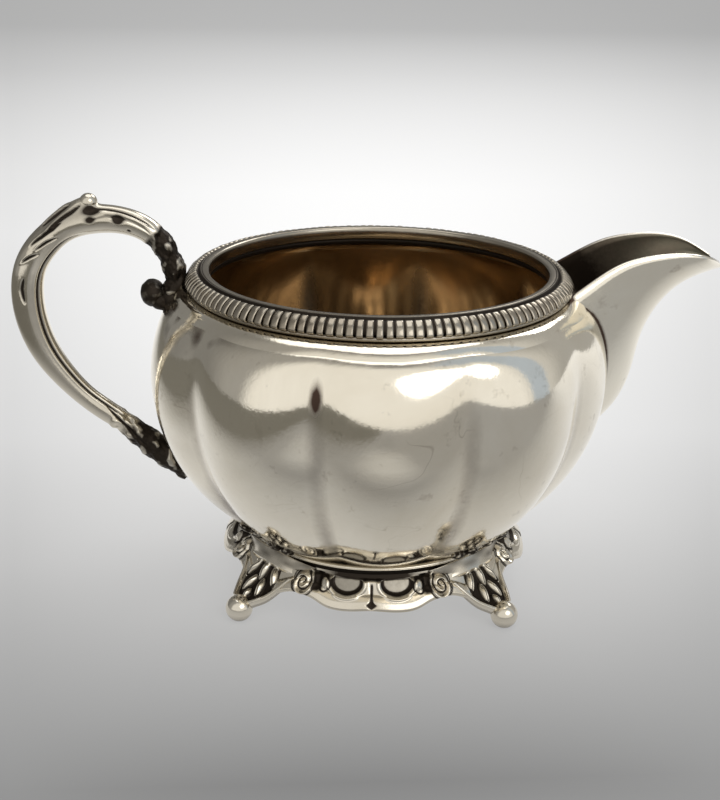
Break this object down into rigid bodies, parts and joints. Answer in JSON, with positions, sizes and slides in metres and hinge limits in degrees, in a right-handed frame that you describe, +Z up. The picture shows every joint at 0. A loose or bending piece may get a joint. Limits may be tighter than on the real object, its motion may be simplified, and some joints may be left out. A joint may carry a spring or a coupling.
{
  "type": "cream jug",
  "caption": "Lobed silver cream jug with a gadrooned rim, an open beak spout, a cast scroll handle and a flared base on leaf-topped ball feet.",
  "frame": {"origin": "in the plane that the ball feet stand on, under the middle of the jug from the back of the handle to the lip of the spout, which is the bottom centre of its bounding box; the axis of the bowl stands 1.8 mm from it towards the spout", "axes": "+Z up, +X towards the lip of the spout, -X towards the handle, -Y towards the viewer of the front"},
  "size_m": [0.1396, 0.0916, 0.0794],
  "materials": {
    "silver": "polished"
  },
  "bodies": {
    "root": {"bowl": "silver", "rim_under_bead": "silver", "rim_top_lip": "silver", "rim_gadroon_band": "silver", "spout": "silver", "handle": "silver", "base_collar": "silver", "scroll_border_spout": "silver", "scroll_border_back": "silver", "scroll_border_handle": "silver", "scroll_border_front": "silver", "foot_front_right": "silver", "foot_back_right": "silver", "foot_back_left": "silver", "foot_front_left": "silver", "leaf_crest_front_right": "silver", "leaf_crest_back_right": "silver", "leaf_crest_back_left": "silver", "leaf_crest_front_left": "silver"}
  },
  "joints": []
}
